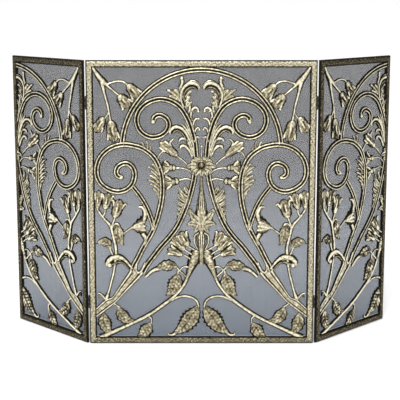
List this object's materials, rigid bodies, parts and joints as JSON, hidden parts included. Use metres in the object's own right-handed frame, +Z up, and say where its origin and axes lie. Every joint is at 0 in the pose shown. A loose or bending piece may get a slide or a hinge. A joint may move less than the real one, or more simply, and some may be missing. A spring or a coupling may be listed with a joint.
{
  "type": "fireplace_screen",
  "caption": "Three-panel folding fireplace screen with cast scroll-and-vine filigree in aged gold frames over dark wire mesh",
  "frame": {"origin": "on the floor plane, in the middle of the front face of the centre panel's bottom rail", "axes": "+X to the right of a person facing the screen, +Y away from that person into the fireplace, +Z up"},
  "size_m": [1.1612, 0.2331, 0.838],
  "materials": {
    "aged_gold": "antique gold rubbed over black",
    "black_mesh": "matt black woven wire",
    "dark_steel": "satin dark hardware"
  },
  "bodies": {
    "centre_panel": {"centre_arch": "aged_gold", "centre_base_vine": "aged_gold", "centre_bottom_rail": "aged_gold", "centre_crest": "aged_gold", "centre_finial": "aged_gold", "centre_hinge_screws": "dark_steel", "centre_left_bud_stems": "aged_gold", "centre_left_corner_spray": "aged_gold", "centre_left_hinge_leaves": "dark_steel", "centre_left_hinge_pins": "dark_steel", "centre_left_scrollwork": "aged_gold", "centre_left_side_vine": "aged_gold", "centre_left_stile": "aged_gold", "centre_mesh_hem": "black_mesh", "centre_mesh_screws": "dark_steel", "centre_right_bud_stems": "aged_gold", "centre_right_corner_spray": "aged_gold", "centre_right_hinge_leaves": "dark_steel", "centre_right_hinge_pins": "dark_steel", "centre_right_scrollwork": "aged_gold", "centre_right_side_vine": "aged_gold", "centre_right_stile": "aged_gold", "centre_rosette": "aged_gold", "centre_top_rail": "aged_gold", "centre_wire_mesh": "black_mesh"},
    "left_wing": {"left_wing_base_vine": "aged_gold", "left_wing_bottom_rail": "aged_gold", "left_wing_bud_stems": "aged_gold", "left_wing_corner_spray": "aged_gold", "left_wing_half_motif": "aged_gold", "left_wing_half_rosette": "aged_gold", "left_wing_hinge_leaves": "dark_steel", "left_wing_hinge_screws": "dark_steel", "left_wing_inner_stile": "aged_gold", "left_wing_mesh_hem": "black_mesh", "left_wing_mesh_screws": "dark_steel", "left_wing_outer_stile": "aged_gold", "left_wing_scrollwork": "aged_gold", "left_wing_side_vine": "aged_gold", "left_wing_top_rail": "aged_gold", "left_wing_wire_mesh": "black_mesh"},
    "right_wing": {"right_wing_base_vine": "aged_gold", "right_wing_bottom_rail": "aged_gold", "right_wing_bud_stems": "aged_gold", "right_wing_corner_spray": "aged_gold", "right_wing_half_motif": "aged_gold", "right_wing_half_rosette": "aged_gold", "right_wing_hinge_leaves": "dark_steel", "right_wing_hinge_screws": "dark_steel", "right_wing_inner_stile": "aged_gold", "right_wing_mesh_hem": "black_mesh", "right_wing_mesh_screws": "dark_steel", "right_wing_outer_stile": "aged_gold", "right_wing_scrollwork": "aged_gold", "right_wing_side_vine": "aged_gold", "right_wing_top_rail": "aged_gold", "right_wing_wire_mesh": "black_mesh"}
  },
  "joints": [
    {"name": "left_hinge", "type": "hinge", "parent": "centre_panel", "child": "left_wing", "pos_m": [-0.33075, 0.011, 0.42], "axis": [0, 0, -1], "range_deg": [-42, 138]},
    {"name": "right_hinge", "type": "hinge", "parent": "centre_panel", "child": "right_wing", "pos_m": [0.33075, 0.011, 0.42], "axis": [0, 0, 1], "range_deg": [-42, 138]}
  ]
}
